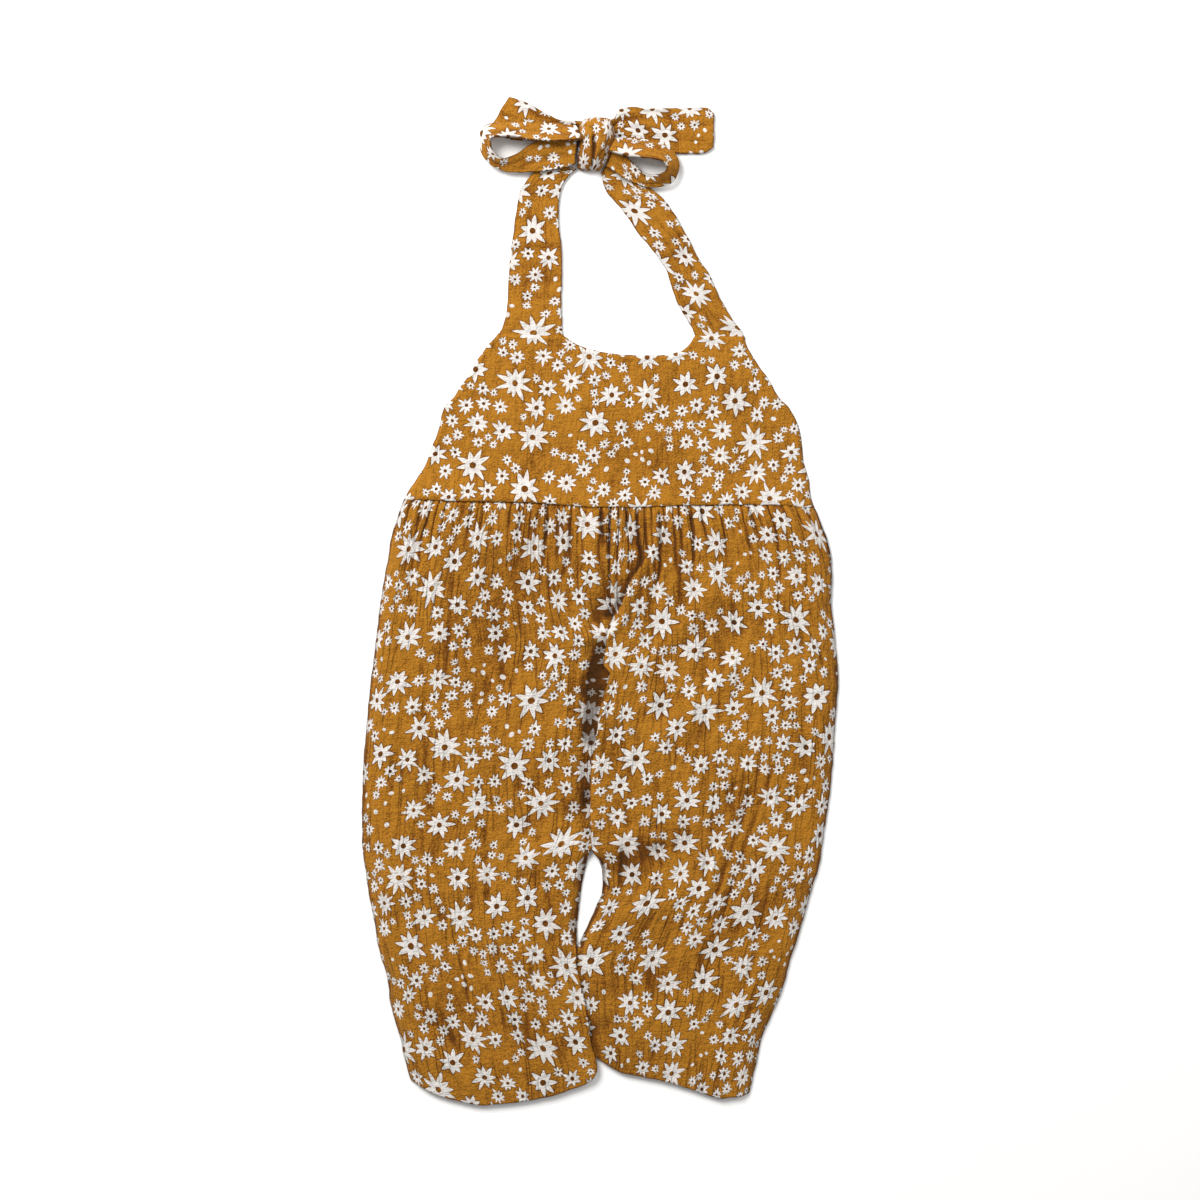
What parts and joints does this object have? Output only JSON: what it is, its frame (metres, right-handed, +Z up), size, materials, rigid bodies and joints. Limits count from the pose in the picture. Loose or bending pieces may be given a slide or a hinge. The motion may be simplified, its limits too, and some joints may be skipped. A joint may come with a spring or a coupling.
{
  "type": "baby halter romper (long-legged sleeveless jumpsuit with neck ties)",
  "caption": "Sleeveless baby romper in ochre crinkled cotton with a small off-white flower print, gathered under the bodice, its neck ties in a bow, laid flat.",
  "frame": {"origin": "middle of the garment's outline as laid flat, on the surface it lies on", "axes": "+X across the garment to the right as seen from above, +Y from the hems to the bow, +Z up from the surface"},
  "size_m": [0.2974, 0.6296, 0.015],
  "materials": {
    "muslin_bodice": "double-gauze cotton muslin, ochre with off-white flowers, faced",
    "muslin_tie": "double-gauze cotton muslin tube, ochre with off-white flowers, pressed flat",
    "muslin_leg": "double-gauze cotton muslin, ochre with off-white flowers, crinkled",
    "muslin_back": "double-gauze cotton muslin, ochre with off-white flowers, hidden side"
  },
  "bodies": {
    "root": {"bodice_front": "muslin_bodice", "strap_left": "muslin_tie", "strap_right": "muslin_tie", "bow_knot": "muslin_tie", "bow_loop_left": "muslin_tie", "bow_loop_right": "muslin_tie", "bow_tail_left": "muslin_tie", "bow_tail_right": "muslin_tie", "leg_front_left": "muslin_leg", "leg_front_right": "muslin_leg", "leg_back_left": "muslin_back", "leg_back_right": "muslin_back", "back_waist": "muslin_back"}
  },
  "joints": []
}
